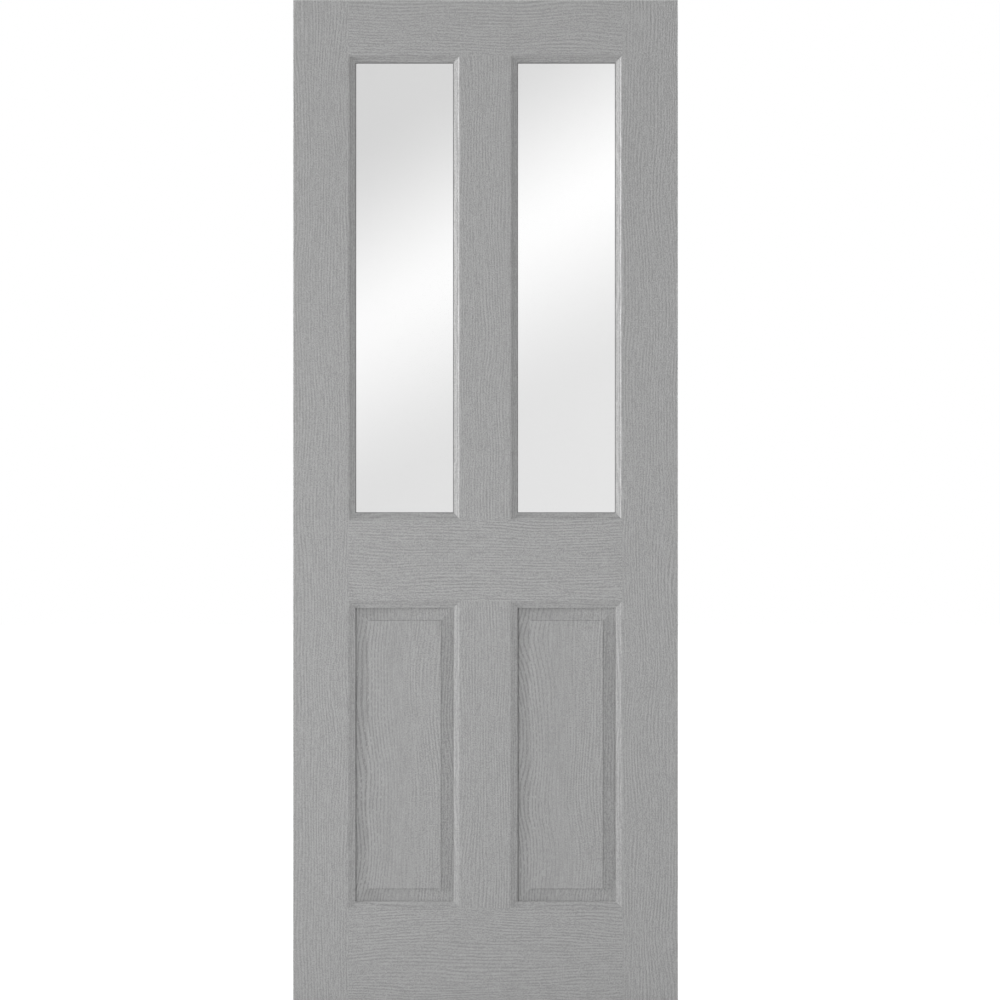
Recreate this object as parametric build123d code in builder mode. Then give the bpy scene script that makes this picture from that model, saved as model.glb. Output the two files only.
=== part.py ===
from build123d import *
import os

# A glazed interior door leaf, 762 x 1981 x 35 mm. Two stiles run the full height. Three rails and
# two muntins are tenoned between them. Two panes in rubber channels close the upper openings and
# two raised and fielded panels close the lower ones. Mitred mouldings line all four openings on
# both faces.
#
# Frame: origin on the hinge edge, at mid-thickness, at the foot of the leaf.
# +X runs to the lock edge, +Y from the front face to the back face, +Z up.

# Leaf, in millimetres
leaf_width = 762.0
leaf_height = 1981.0
leaf_thickness = 35.0
arris_radius = 1.5

# Stiles, rails and muntins, as seen on the face
stile_width = 110.0
muntin_width = 100.0
top_rail_depth = 110.0
lock_rail_depth = 161.5
bottom_rail_depth = 182.5
panel_opening_height = 608.0

# Mortise and tenon joints
tenon_thickness = 14.0
tenon_length = 40.0
tenon_shoulder = 20.0
tenon_side_clearance = 0.2
tenon_end_clearance = 1.0

# Mouldings: a step down from the face, a round, a quirk, then a chamfer, and flatter at the panels
moulding_width = 13.4
moulding_setback = 0.9
round_width = 5.0
quirk_width = 1.0
quirk_drop = 0.5
foot_width = 0.8
glazing_round_drop = 2.4
glazing_chamfer_drop = 2.9
panel_round_drop = 1.1
panel_chamfer_drop = 1.6

# Panes, each in a rubber channel that shows as a narrow line inside the mouldings
glass_thickness = 4.0
glass_edge_clearance = 3.0
channel_wall = 1.0
channel_sight = 1.0

# Raised and fielded panels: a tongue that runs on under the moulding, a coved bevel and a field
tongue_thickness = 13.0
tongue_length = 9.0
tongue_end_clearance = 3.0
tongue_side_clearance = 0.2
bevel_width = 24.0
shoulder_width = 1.2
shoulder_drop = 2.0
field_setback = 4.5

# Heights and widths that follow
lock_rail_low = bottom_rail_depth + panel_opening_height
lock_rail_high = lock_rail_low + lock_rail_depth
top_rail_low = leaf_height - top_rail_depth
middle_x = leaf_width / 2
rail_length = leaf_width - 2 * stile_width
opening_width = (rail_length - muntin_width) / 2
half_thickness = leaf_thickness / 2
mortise_thickness = tenon_thickness + 2 * tenon_side_clearance
mortise_depth = tenon_length + tenon_end_clearance
groove_width = tongue_thickness + 2 * tongue_side_clearance
groove_depth = tongue_length + tongue_end_clearance
field_thickness = leaf_thickness - 2 * field_setback
channel_thickness = glass_thickness + 2 * channel_wall
channel_setback = (leaf_thickness - channel_thickness) / 2
channel_width = moulding_width + channel_sight
tongue_setback = (leaf_thickness - tongue_thickness) / 2
left_opening_x = stile_width + opening_width / 2
right_opening_x = leaf_width - left_opening_x

os.makedirs("parts", exist_ok=True)


def write(piece, name):
    """Labels a finished piece and writes it to its own file."""
    piece.part.label = name
    export_step(piece.part, f"parts/{name}.step")


def slab(x, z, width, height, thickness, mode=Mode.ADD):
    """A board centred at x, z and on the leaf's middle plane."""
    with Locations((x, 0, z)):
        Box(width, thickness, height, mode=mode)


def groove(x, z, width, height):
    """A groove along an inner edge that takes a panel's tongue."""
    slab(x, z, width, height, groove_width, mode=Mode.SUBTRACT)


def mortise(x, z, width, height):
    """A blind mortise for a tenon."""
    slab(x, z, width, height, mortise_thickness, mode=Mode.SUBTRACT)


def ease(edges):
    """Rounds the arrises at the leaf's perimeter."""
    fillet(edges, radius=arris_radius)


def tenon_size(member_width):
    """A tenon stands in from both edges of its member."""
    return member_width - 2 * tenon_shoulder


# Stiles
rail_bands = [
    (0, bottom_rail_depth),
    (lock_rail_low, lock_rail_high),
    (top_rail_low, leaf_height),
]

with BuildPart() as left_stile:
    slab(stile_width / 2, leaf_height / 2, stile_width, leaf_height, leaf_thickness)
    ease(
        left_stile.edges().filter_by(Axis.Z).group_by(Axis.X)[0]
        + left_stile.edges().filter_by(Axis.X)
    )
    groove(
        stile_width - groove_depth / 2,
        bottom_rail_depth + panel_opening_height / 2,
        groove_depth,
        panel_opening_height + 2 * groove_depth,
    )
    for low, high in rail_bands:
        mortise(
            stile_width - mortise_depth / 2,
            (low + high) / 2,
            mortise_depth,
            tenon_size(high - low) + 2 * tenon_side_clearance,
        )

with BuildPart() as right_stile:
    mirror(left_stile.part, about=Plane.YZ.offset(middle_x))

write(left_stile, "left_stile")
write(right_stile, "right_stile")


# Rails
def rail_blank(low, high):
    """A rail between the stiles with a stub tenon at each end."""
    middle_z = (low + high) / 2
    slab(middle_x, middle_z, rail_length, high - low, leaf_thickness)
    slab(middle_x, middle_z, rail_length + 2 * tenon_length, tenon_size(high - low), tenon_thickness)


def muntin_mortise(z, up):
    """A mortise for a muntin in a rail's edge at height z, cut upwards or downwards."""
    width = tenon_size(muntin_width) + 2 * tenon_side_clearance
    mortise(middle_x, z + up * mortise_depth / 2, width, mortise_depth)


def panel_groove(z, up):
    """A groove for the panels along a rail's edge at height z, cut upwards or downwards."""
    groove(middle_x, z + up * groove_depth / 2, rail_length, groove_depth)


with BuildPart() as top_rail:
    rail_blank(top_rail_low, leaf_height)
    ease(top_rail.edges().filter_by(Axis.X).group_by(Axis.Z)[-1])
    muntin_mortise(top_rail_low, 1)

with BuildPart() as lock_rail:
    rail_blank(lock_rail_low, lock_rail_high)
    muntin_mortise(lock_rail_high, -1)
    muntin_mortise(lock_rail_low, 1)
    panel_groove(lock_rail_low, 1)

with BuildPart() as bottom_rail:
    rail_blank(0, bottom_rail_depth)
    ease(bottom_rail.edges().filter_by(Axis.X).group_by(Axis.Z)[0])
    muntin_mortise(bottom_rail_depth, -1)
    panel_groove(bottom_rail_depth, -1)

write(top_rail, "top_rail")
write(lock_rail, "lock_rail")
write(bottom_rail, "bottom_rail")


# Muntins
def muntin_blank(low, high):
    """A muntin between two rails with a stub tenon at each end."""
    middle_z = (low + high) / 2
    slab(middle_x, middle_z, muntin_width, high - low, leaf_thickness)
    slab(middle_x, middle_z, tenon_size(muntin_width), high - low + 2 * tenon_length, tenon_thickness)


with BuildPart() as upper_muntin:
    muntin_blank(lock_rail_high, top_rail_low)

with BuildPart() as lower_muntin:
    muntin_blank(bottom_rail_depth, lock_rail_low)
    for side in (-1, 1):
        groove(
            middle_x + side * (muntin_width - groove_depth) / 2,
            (bottom_rail_depth + lock_rail_low) / 2,
            groove_depth,
            panel_opening_height,
        )

write(upper_muntin, "upper_muntin")
write(lower_muntin, "lower_muntin")


# Sides of an upright rectangle
def sides(low, high, face, half_depth):
    """The four sides of the rectangle low to high, at half_depth from the middle plane on one face.

    face is -1 for the front and 1 for the back. Each side comes as its name, its length and its
    section plane, which stands at the side's start: local x points in to the rectangle's middle,
    local y down into the leaf and local z along the side.
    """
    y = face * half_depth
    into_leaf = Vector(0, -face, 0)
    corners = {
        "left": (Vector(low.X, y, low.Y), Vector(low.X, y, high.Y), Vector(1, 0, 0)),
        "right": (Vector(high.X, y, low.Y), Vector(high.X, y, high.Y), Vector(-1, 0, 0)),
        "bottom": (Vector(low.X, y, low.Y), Vector(high.X, y, low.Y), Vector(0, 0, 1)),
        "top": (Vector(low.X, y, high.Y), Vector(high.X, y, high.Y), Vector(0, 0, -1)),
    }
    for name, (first, last, inward) in corners.items():
        along = inward.cross(into_leaf)
        start = first if (last - first).dot(along) > 0 else last
        yield name, (last - first).length, Plane(origin=start, x_dir=inward, z_dir=along)


def mitred_moulding(length, section_plane, round_drop, chamfer_drop, back_setback):
    """A length of moulding that reaches back to what it holds, mitred at both ends."""
    along, inward = section_plane.z_dir, section_plane.x_dir
    round_low = moulding_setback + round_drop
    quirk_low = round_low + quirk_drop
    foot_low = quirk_low + chamfer_drop
    with BuildPart() as moulding:
        with BuildSketch(section_plane):
            with BuildLine():
                TangentArc((0, moulding_setback), (round_width, round_low), tangent=(1, 0))
                Polyline(
                    (round_width, round_low),
                    (round_width, quirk_low),
                    (round_width + quirk_width, quirk_low),
                    (moulding_width - foot_width, foot_low),
                    (moulding_width, foot_low),
                    (moulding_width, back_setback),
                    (0, back_setback),
                    (0, moulding_setback),
                )
            make_face()
        extrude(amount=length)
        split(bisect_by=Plane(section_plane.origin, z_dir=along - inward))
        split(bisect_by=Plane(section_plane.origin + along * length, z_dir=-along - inward))
    return moulding


def write_mouldings(low, high, section, name_form):
    """The eight lengths of moulding round one opening, four on each face."""
    for face, face_name in ((-1, "front"), (1, "back")):
        for side, length, section_plane in sides(low, high, face, half_thickness):
            moulding = mitred_moulding(length, section_plane, *section)
            write(moulding, name_form.format(face=face_name, side=side))


def opening_slab(low, high, inset, thickness, mode=Mode.ADD):
    """A slab that fills the opening low to high but for an inset all round."""
    middle, size = (low + high) / 2, high - low
    slab(middle.X, middle.Y, size.X - 2 * inset, size.Y - 2 * inset, thickness, mode)


def pane(low, high):
    """A pane that stands clear of the timber round its edge."""
    with BuildPart() as glass:
        opening_slab(low, high, glass_edge_clearance, glass_thickness)
    return glass


def glazing_channel(low, high):
    """A rubber channel that holds a pane's edge and fills the gap round it."""
    with BuildPart() as channel:
        opening_slab(low, high, 0, channel_thickness)
        opening_slab(low, high, channel_width, channel_thickness, Mode.SUBTRACT)
        opening_slab(low, high, glass_edge_clearance, glass_thickness, Mode.SUBTRACT)
    return channel


def fielded_panel(low, high):
    """A panel with a tongue all round and, on both faces, a raised field inside a coved bevel."""
    tongue = Vector(tongue_length, tongue_length)
    outer_low, outer_high = low - tongue, high + tongue
    tongue_drop = tongue_setback - field_setback
    valley = tongue_length + moulding_width
    shoulder = valley + bevel_width
    with BuildPart() as panel:
        opening_slab(outer_low, outer_high, 0, field_thickness)
        for face in (-1, 1):
            for _, length, section_plane in sides(outer_low, outer_high, face, field_thickness / 2):
                with BuildSketch(section_plane):
                    with BuildLine():
                        tongue_face = Line((0, tongue_drop), (valley, tongue_drop))
                        cove = TangentArc(tongue_face @ 1, (shoulder, shoulder_drop), tangent=(1, 0))
                        Polyline(cove @ 1, (shoulder + shoulder_width, 0), (0, 0), (0, tongue_drop))
                    make_face()
                extrude(amount=length, mode=Mode.SUBTRACT)
    return panel


# Glazed openings above, panelled openings below
glazing_section = (glazing_round_drop, glazing_chamfer_drop, channel_setback)
panel_section = (panel_round_drop, panel_chamfer_drop, tongue_setback)

for side_name, opening_x in (("left", left_opening_x), ("right", right_opening_x)):
    opening_left, opening_right = opening_x - opening_width / 2, opening_x + opening_width / 2

    glazed_low, glazed_high = Vector(opening_left, lock_rail_high), Vector(opening_right, top_rail_low)
    write(pane(glazed_low, glazed_high), f"{side_name}_glass")
    write(glazing_channel(glazed_low, glazed_high), f"{side_name}_glass_channel")
    write_mouldings(glazed_low, glazed_high, glazing_section, side_name + "_glass_{face}_bead_{side}")

    panel_low, panel_high = Vector(opening_left, bottom_rail_depth), Vector(opening_right, lock_rail_low)
    write(fielded_panel(panel_low, panel_high), f"{side_name}_panel")
    write_mouldings(panel_low, panel_high, panel_section, side_name + "_panel_{face}_moulding_{side}")
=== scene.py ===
import math

import bmesh
import bpy
from mathutils import Euler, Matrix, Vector


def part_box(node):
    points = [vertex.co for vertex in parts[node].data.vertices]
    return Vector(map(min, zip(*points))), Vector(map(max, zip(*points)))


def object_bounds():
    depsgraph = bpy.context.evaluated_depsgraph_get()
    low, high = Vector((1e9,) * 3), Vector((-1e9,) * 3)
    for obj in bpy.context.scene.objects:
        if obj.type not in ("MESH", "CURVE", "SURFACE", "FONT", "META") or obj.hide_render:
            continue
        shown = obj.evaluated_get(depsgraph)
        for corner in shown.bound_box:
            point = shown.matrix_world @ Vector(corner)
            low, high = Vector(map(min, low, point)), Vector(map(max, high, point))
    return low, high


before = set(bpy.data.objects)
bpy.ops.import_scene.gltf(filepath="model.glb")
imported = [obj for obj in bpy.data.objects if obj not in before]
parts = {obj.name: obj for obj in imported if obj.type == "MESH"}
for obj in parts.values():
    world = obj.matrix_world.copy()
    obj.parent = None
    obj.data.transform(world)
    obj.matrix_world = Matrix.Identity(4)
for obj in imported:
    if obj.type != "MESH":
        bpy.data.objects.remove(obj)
cad_low, cad_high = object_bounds()
scene = bpy.context.scene

# The leaf's front face and middle, in metres
front_y = cad_low.y
leaf_middle = (cad_low + cad_high) / 2

# Finishes
paint_grey = 0.338
# Painted shade: the level mouldings, top and bottom, have their paint darkened by this factor for the shade
# that falls on them
level_moulding_painted_shade = 0.965
glass_tint = 0.82
rubber_grey_low, rubber_grey_high = 0.10, 0.14

# Patterns in a surface: size across, through and along the grain in metres, then detail and roughness
wandering = (0.10, 0.10, 0.26, 1.0, 0.5)
wavering = (0.010, 0.010, 0.030, 1.0, 0.5)
leaning = (0.4, 0.4, 0.28, 1.5, 0.4)
patches = (0.020, 0.020, 0.12, 1.0, 0.5)
long_pores = (0.0026, 0.0030, 0.036, 1.0, 0.4)
short_pores = (0.0023, 0.0026, 0.0062, 0.0, 0.5)
specks = (0.0020, 0.0022, 0.0024, 0.0, 0.5)
clouds = (0.06, 0.06, 0.4, 2.0, 0.5)
rubber_bloom = (0.03, 0.03, 0.03, 2.0, 0.5)

# The range in which most of the noise lies
noise_low, noise_high = 0.3, 0.7

# Growth rings: their sizes in metres, and how far they slant through a board
ring_pitch = 0.0060
ring_wander = 0.040
ring_waver = 0.0030
ring_slant = 0.8
heart_lean = 0.19
bold_within, bold_until = 0.050, 0.190
panel_heart = (-0.140, 0.060)

# How much each part of the grain adds to the height of the surface, which is 0.5 where it is plain
plain_height = 0.5
long_pore_share = 1.2
short_pore_share = 1.0
speck_share = 2.3
ring_share = 0.25
patch_weak, patch_strong = 0.3, 1.7
pore_depth = 0.95
pore_loss_where_bold = 0.45
bold_ring_depth = 1.05
bold_ring_lift = 0.30
bold_ring_patches = 0.35
ragged_share = 4.0

# How the height of the surface shows: as relief, as gloss, and in the colour as painted shade where it is low
# and painted highlight where it is high
grain_relief = 0.0003
pore_painted_shade, ridge_painted_highlight = 0.16, 0.15
cloud_change = 0.04
dull_pores, shiny_ridges = 0.70, 0.50

# Each board's grain direction and how strongly its grain shows
upright = Euler((0.0, 0.0, 0.0))
level = Euler((0.0, -math.pi / 2, 0.0))
boards = {
    "left_stile": (upright, 1.1),
    "right_stile": (upright, 1.1),
    "upper_muntin": (upright, 1.1),
    "lower_muntin": (upright, 1.1),
    "top_rail": (level, 1.1),
    "lock_rail": (level, 1.25),
    "bottom_rail": (level, 1.15),
}
panel_contrast = 1.2

# Seeds of the noise: each board's patterns take the numbers after its own
seed_step = 10.0
panel_seed = 100.0
moulding_seed = 200.0
rubber_seed = 3.0


# Node helpers
def new_finish(name):
    """A node material with no nodes yet, and its tree."""
    finish = bpy.data.materials.new(name)
    finish.use_nodes = True
    finish.node_tree.nodes.clear()
    return finish, finish.node_tree


def add(tree, kind, inputs=None, **settings):
    """Adds a node, sets its options and fills its sockets with values or links."""
    made = tree.nodes.new(kind)
    for option, value in settings.items():
        setattr(made, option, value)
    for socket, value in (inputs or {}).items():
        if isinstance(value, bpy.types.NodeSocket):
            tree.links.new(value, made.inputs[socket])
        else:
            made.inputs[socket].default_value = value
    return made


def grey(shade):
    """An even grey as a colour."""
    return (shade, shade, shade, 1.0)


def sums(tree, operation, first, second=0.0, third=0.0, clamp=False):
    """The result of one arithmetic node."""
    return add(tree, "ShaderNodeMath", {0: first, 1: second, 2: third}, operation=operation,
               use_clamp=clamp).outputs[0]


def spread(tree, value, low, high, to_low=0.0, to_high=1.0, smooth=True):
    """Stretches a value from one range to another and stops it at both ends."""
    return add(tree, "ShaderNodeMapRange",
               {"Value": value, "From Min": low, "From Max": high, "To Min": to_low, "To Max": to_high},
               interpolation_type="SMOOTHSTEP" if smooth else "LINEAR").outputs["Result"]


def streaks(tree, place, pattern, seed):
    """Soft noise drawn out along the grain, between 0 and 1."""
    across, through, along, detail, roughness = pattern
    stretched = add(tree, "ShaderNodeVectorMath", {0: place, 1: (1 / across, 1 / through, 1 / along)},
                    operation="MULTIPLY").outputs[0]
    return add(tree, "ShaderNodeTexNoise",
               {"Vector": stretched, "W": seed, "Scale": 1.0, "Detail": detail, "Roughness": roughness},
               noise_dimensions="4D").outputs["Fac"]


def swings(tree, place, pattern, seed):
    """The same noise, to both sides of 0."""
    return sums(tree, "SUBTRACT", streaks(tree, place, pattern, seed), 0.5)


# Timber under paint
def growth_rings(tree, board, heart, seed):
    """The rings' wave between -1 and 1, and how bold the rings are, between 0 and 1."""
    axes = add(tree, "ShaderNodeSeparateXYZ", {0: board}).outputs
    sideways = sums(tree, "MULTIPLY_ADD", swings(tree, board, wandering, seed + 1), ring_wander, axes["X"])
    sideways = sums(tree, "MULTIPLY_ADD", swings(tree, board, wavering, seed + 7), ring_waver, sideways)
    if heart:
        across, depth = heart
        sideways = sums(tree, "SUBTRACT", sideways, across)
        behind = sums(tree, "MULTIPLY_ADD", swings(tree, board, leaning, seed + 2), heart_lean,
                      sums(tree, "ADD", axes["Y"], depth))
        from_heart = add(tree, "ShaderNodeCombineXYZ", {0: sideways, 1: behind}).outputs[0]
        from_heart = add(tree, "ShaderNodeVectorMath", {0: from_heart}, operation="LENGTH").outputs["Value"]
        bold = spread(tree, sums(tree, "ABSOLUTE", sideways), bold_within, bold_until, 1.0, 0.0)
    else:
        from_heart = sums(tree, "MULTIPLY_ADD", axes["Y"], ring_slant, sideways)
        bold = 0.0
    return sums(tree, "SINE", sums(tree, "MULTIPLY", from_heart, 2 * math.pi / ring_pitch)), bold


def open_grain(tree, board, ring, bold, seed):
    """The height of the timber's surface, which is less in its pores and its sunken rings; the paint darkens
    both as painted shade.
    """
    patch = spread(tree, streaks(tree, board, patches, seed + 6), noise_low, noise_high,
                   patch_weak, patch_strong)
    short_pore = swings(tree, board, short_pores, seed + 4)
    speck = swings(tree, board, specks, seed + 8)

    # Short broken strokes, shallower where the rings are bold
    pores = sums(tree, "MULTIPLY", swings(tree, board, long_pores, seed + 3), long_pore_share)
    pores = sums(tree, "MULTIPLY_ADD", short_pore, short_pore_share, pores)
    pores = sums(tree, "MULTIPLY_ADD", speck, speck_share, pores)
    pores = sums(tree, "MULTIPLY_ADD", ring, sums(tree, "MULTIPLY", patch, ring_share), pores)
    pores = sums(tree, "MULTIPLY", pores,
                 sums(tree, "MULTIPLY_ADD", bold, -pore_loss_where_bold, pore_depth))

    # Bold rings: narrow sunken crests, ragged along their edges, dark by painted shade
    late_wood = sums(tree, "POWER", sums(tree, "MULTIPLY_ADD", ring, 0.5, 0.5), 2.0)
    ragged = sums(tree, "MULTIPLY_ADD", sums(tree, "ADD", speck, short_pore), ragged_share,
                  sums(tree, "MULTIPLY_ADD", patch, bold_ring_patches, 1.0 - bold_ring_patches))
    rings = sums(tree, "MULTIPLY", late_wood, sums(tree, "MULTIPLY", bold, -bold_ring_depth))
    rings = sums(tree, "MULTIPLY", rings, ragged)
    return sums(tree, "ADD", sums(tree, "ADD", pores, rings),
                sums(tree, "MULTIPLY_ADD", bold, bold_ring_lift, plain_height))


def timber(name, grain, centre, seed, painted_shade_factor=1.0, heart=None, contrast=1.0):
    """Grey paint over open-grained timber, with painted shade in the grain's pores and rings and painted
    highlight on its ridges.

    grain turns the board so that its grain runs along z. heart is the place of the tree's heart across
    the board and its depth behind the face. There the rings widen into tall arches and lie bold and
    dark on smooth timber, and away from it they close up under short broken strokes.
    """
    finish, tree = new_finish(name)
    coordinates = add(tree, "ShaderNodeTexCoord").outputs["Object"]
    turned_centre = grain.to_matrix() @ centre
    board = add(tree, "ShaderNodeMapping",
                {"Vector": coordinates, "Rotation": grain, "Location": -turned_centre}).outputs[0]
    ring, bold = growth_rings(tree, board, heart, seed)
    height = open_grain(tree, board, ring, bold, seed)

    cloud = sums(tree, "MULTIPLY_ADD", streaks(tree, board, clouds, seed + 5), cloud_change,
                 1.0 - cloud_change / 2)
    # Painted shade and highlight: the paint is darker where the grain's surface is low and lighter where it
    # is high, for the light and shade of its relief
    depth_shade = spread(tree, height, 0.0, 1.0, 1.0 - pore_painted_shade * contrast, 1.0 + ridge_painted_highlight * contrast,
                         smooth=False)
    shade = sums(tree, "MULTIPLY", cloud, depth_shade)
    # A factor below 1 darkens the whole paint of a piece drawn in shade: painted shade, used for the level
    # mouldings
    colour = add(tree, "ShaderNodeVectorMath", {0: (paint_grey * painted_shade_factor,) * 3, 3: shade},
                 operation="SCALE").outputs[0]
    roughness = spread(tree, height, 0.0, 1.0, dull_pores, shiny_ridges)
    relief = add(tree, "ShaderNodeBump",
                 {"Strength": 0.5, "Distance": grain_relief, "Height": height}).outputs[0]
    surface = add(tree, "ShaderNodeBsdfPrincipled",
                  {"Base Color": colour, "Roughness": roughness, "Normal": relief})
    add(tree, "ShaderNodeOutputMaterial", {"Surface": surface.outputs[0]})
    return finish


def clear_glass():
    """Clear polished glass, a little grey."""
    finish, tree = new_finish("clear_glass")
    surface = add(tree, "ShaderNodeBsdfPrincipled",
                  {"Base Color": grey(glass_tint), "Roughness": 0.0, "IOR": 1.5, "Transmission Weight": 1.0})
    add(tree, "ShaderNodeOutputMaterial", {"Surface": surface.outputs[0]})
    return finish


def glazing_rubber():
    """Matt rubber with a faint bloom."""
    finish, tree = new_finish("glazing_rubber")
    coordinates = add(tree, "ShaderNodeTexCoord").outputs["Object"]
    bloom = streaks(tree, coordinates, rubber_bloom, rubber_seed)
    shade = spread(tree, bloom, noise_low, noise_high, rubber_grey_low, rubber_grey_high)
    colour = add(tree, "ShaderNodeCombineColor", {0: shade, 1: shade, 2: shade}).outputs[0]
    surface = add(tree, "ShaderNodeBsdfPrincipled", {"Base Color": colour, "Roughness": 0.6})
    add(tree, "ShaderNodeOutputMaterial", {"Surface": surface.outputs[0]})
    return finish


# The pieces and their finishes
def centre_of(name):
    """The middle of a piece's box."""
    low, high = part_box(name)
    return (low + high) / 2


def dress(name, finish):
    """Gives a piece its finish."""
    slots = parts[name].data.materials
    slots.clear()
    slots.append(finish)


for number, (name, (grain, contrast)) in enumerate(boards.items()):
    dress(name, timber(name + "_paint", grain, centre_of(name), seed_step * number, contrast=contrast))
for number, name in enumerate(("left_panel", "right_panel")):
    dress(name, timber(name + "_paint", upright, centre_of(name), panel_seed + seed_step * number,
                       heart=panel_heart, contrast=panel_contrast))
upright_moulding = timber("upright_moulding_paint", upright, leaf_middle, moulding_seed)
# The level mouldings take a darker copy of the paint than the upright ones: painted shade
level_moulding = timber("level_moulding_shaded_paint", level, leaf_middle, moulding_seed + seed_step,
                        painted_shade_factor=level_moulding_painted_shade)
pane_finish = clear_glass()
channel_finish = glazing_rubber()
for name in parts:
    if name.endswith("_glass"):
        dress(name, pane_finish)
    elif name.endswith("_channel"):
        dress(name, channel_finish)
    elif name.endswith(("bead_left", "bead_right", "moulding_left", "moulding_right")):
        dress(name, upright_moulding)
    elif name.endswith(("bead_top", "bead_bottom", "moulding_top", "moulding_bottom")):
        dress(name, level_moulding)


# Camera: a long lens at mid-height, a little right of the leaf's middle, as in the photograph
camera_distance = 10.0
camera_aside, camera_raised = 0.0287, 0.0004
view_height = 1.98
camera_data = bpy.data.cameras.new("camera")
camera_data.sensor_width = 36.0
camera_data.lens = camera_data.sensor_width * camera_distance / view_height
camera_data.clip_end = 100.0
camera = bpy.data.objects.new("camera", camera_data)
camera.location = (leaf_middle.x + camera_aside, front_y - camera_distance, leaf_middle.z + camera_raised)
camera.rotation_euler = (math.pi / 2, 0.0, 0.0)
scene.collection.objects.link(camera)
scene.camera = camera


# White surroundings
room_light = 0.63

# What a pane shows: the room's reflection, and the share of light that comes through its tint
pane_reflection = 0.068
pane_clearness = 0.92 * glass_tint

# Painted reflection: a soft leaning band of sheen, put into the white seen through the panes: where it rises
# and falls, in slopes of the line of sight below its own leaning line, how strong it is, and how it grows
# from left to right
band_slope = math.tan(math.radians(29.8))
rise_from, rise_to = -0.0887, -0.0456
fall_from, fall_to = -0.0555, -0.0133
light_above, light_in_band = 0.690, 0.994
fall_of_light = 0.232
side_reach, side_change = 0.04, 0.032


def white_backdrop(tree):
    """How far a ray sees white: fully from the camera, straight or by gloss or glass, and else not."""
    path = add(tree, "ShaderNodeLightPath").outputs
    seen = sums(tree, "ADD", path["Is Camera Ray"], path["Is Glossy Ray"])
    seen = sums(tree, "ADD", seen, path["Is Transmission Ray"], clamp=True)
    direct = sums(tree, "SUBTRACT", 1.0, path["Diffuse Depth"], clamp=True)
    return sums(tree, "MULTIPLY", seen, direct)


def painted_sheen_through_glass(tree):
    """The strength of white, 1 but for a painted reflection: a soft leaning band of sheen that the panes
    show, put into what is seen through them.
    """
    direction = add(tree, "ShaderNodeTexCoord").outputs["Generated"]
    sight = add(tree, "ShaderNodeSeparateXYZ", {0: direction}).outputs
    below = sums(tree, "SUBTRACT", sums(tree, "MULTIPLY", sight["X"], band_slope), sight["Z"])
    rise = spread(tree, below, rise_from, rise_to, light_above, light_in_band)
    fall = spread(tree, below, fall_from, fall_to, 0.0, fall_of_light)
    across = spread(tree, sight["X"], -side_reach, side_reach, -side_change, side_change, smooth=False)
    band = sums(tree, "ADD", across, sums(tree, "SUBTRACT", rise, fall))
    strength = sums(tree, "DIVIDE", sums(tree, "SUBTRACT", band, pane_reflection), pane_clearness)
    is_through = add(tree, "ShaderNodeLightPath").outputs["Is Transmission Ray"]
    return sums(tree, "MULTIPLY_ADD", is_through, sums(tree, "SUBTRACT", strength, 1.0), 1.0)


world = bpy.data.worlds.new("studio")
scene.world = world
world.use_nodes = True
room = world.node_tree
room.nodes.clear()
room_plain = add(room, "ShaderNodeBackground", {"Color": grey(1.0), "Strength": room_light})
# The white seen through the panes carries the painted reflection, a band of sheen
white_with_painted_sheen = add(room, "ShaderNodeBackground", {"Color": grey(1.0), "Strength": painted_sheen_through_glass(room)})
room_mixed = add(room, "ShaderNodeMixShader",
                 {0: white_backdrop(room), 1: room_plain.outputs[0], 2: white_with_painted_sheen.outputs[0]})
add(room, "ShaderNodeOutputWorld", {"Surface": room_mixed.outputs[0]})

# Lamps: far out to one side a soft lamp grazes each face, and a low softbox stands before it
side_light = 1.3 * math.pi
side_angle = math.radians(82.5)
side_softness = math.radians(9.0)
side_distance, side_height = 3.0, 1.0
back_share = 0.75
front_light = 31.0
softbox_width = 0.65
softbox_aside, softbox_distance, softbox_height = 1.0, 2.8, 0.35


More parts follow.
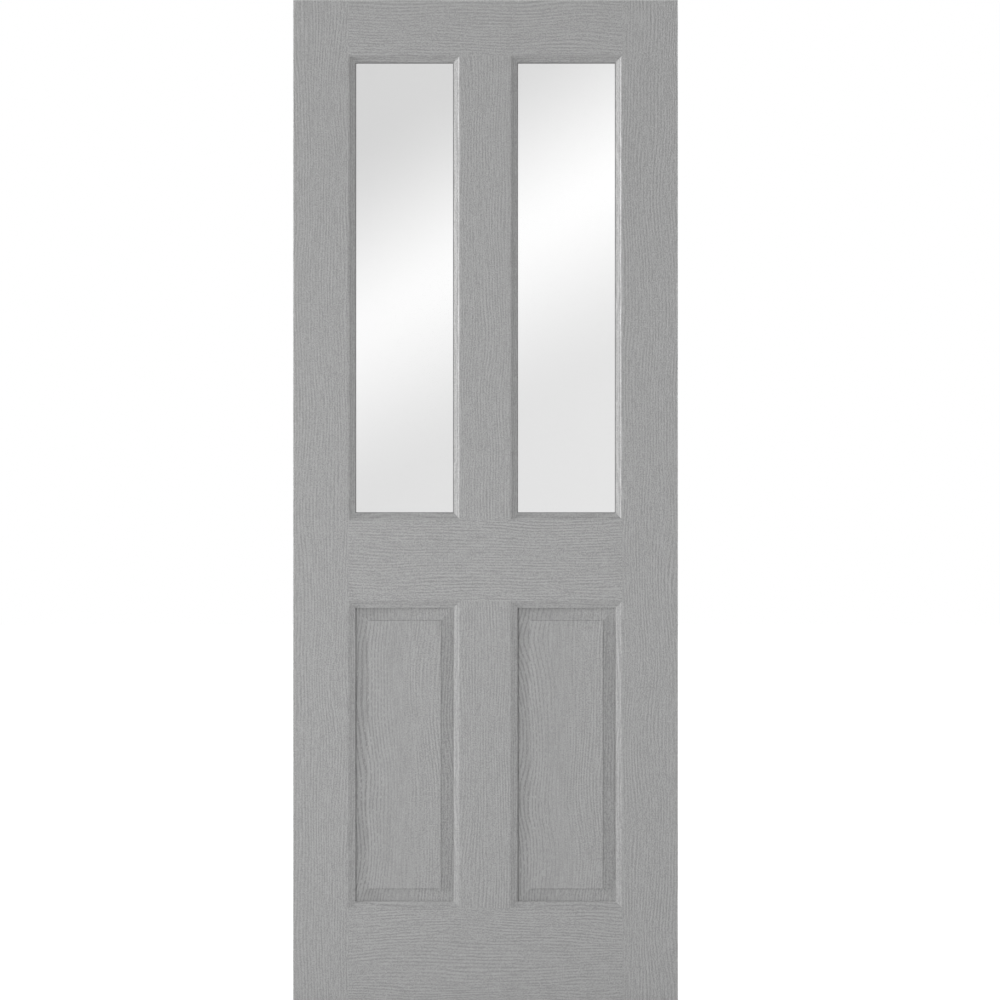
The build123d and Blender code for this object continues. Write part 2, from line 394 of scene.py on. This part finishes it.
def lamp(name, kind, place, direction, strength, **settings):
    """A lamp at a place that shines along a direction, and that the camera doesn't see."""
    data = bpy.data.lights.new(name, kind)
    data.energy = strength
    for option, value in settings.items():
        setattr(data, option, value)
    made = bpy.data.objects.new(name, data)
    made.rotation_euler = Vector(direction).to_track_quat("-Z", "Y").to_euler()
    made.location = place
    made.visible_camera = False
    made.visible_transmission = False
    made.visible_glossy = kind == "SUN"
    scene.collection.objects.link(made)


for name, facing, share in (("front", 1.0, 1.0), ("back", -1.0, back_share)):
    lamp(name + "_side_light", "SUN", (-side_distance * facing, 0.0, side_height),
         (math.sin(side_angle) * facing, math.cos(side_angle) * facing, 0.0),
         side_light * share, angle=side_softness)
    softbox_place = Vector((leaf_middle.x - softbox_aside * facing, -softbox_distance * facing,
                            softbox_height))
    lamp(name + "_softbox", "AREA", softbox_place, leaf_middle - softbox_place,
         front_light, shape="SQUARE", size=softbox_width)

# Floor: it reads white to the camera and still takes the leaf's shadow
floor_radius = 30.0
floor_sides = 96
floor_grey = 0.6
shadow_grey = 0.3
floor_glow = 0.86

floor_mesh = bmesh.new()
bmesh.ops.create_circle(floor_mesh, cap_ends=True, segments=floor_sides, radius=floor_radius)
floor_data = bpy.data.meshes.new("floor")
floor_mesh.to_mesh(floor_data)
floor_mesh.free()
floor = bpy.data.objects.new("floor", floor_data)
scene.collection.objects.link(floor)

floor_finish, floor_tree = new_finish("pale_floor")
floor_pale = add(floor_tree, "ShaderNodeBsdfDiffuse", {"Color": grey(floor_grey)})
floor_shadow = add(floor_tree, "ShaderNodeBsdfDiffuse", {"Color": grey(shadow_grey)})
floor_white = add(floor_tree, "ShaderNodeEmission", {"Color": grey(1.0), "Strength": floor_glow})
floor_bright = add(floor_tree, "ShaderNodeAddShader", {0: floor_shadow.outputs[0], 1: floor_white.outputs[0]})
floor_mixed = add(floor_tree, "ShaderNodeMixShader",
                  {0: white_backdrop(floor_tree), 1: floor_pale.outputs[0], 2: floor_bright.outputs[0]})
add(floor_tree, "ShaderNodeOutputMaterial", {"Surface": floor_mixed.outputs[0]})
floor.data.materials.append(floor_finish)

scene.view_settings.view_transform = "Standard"
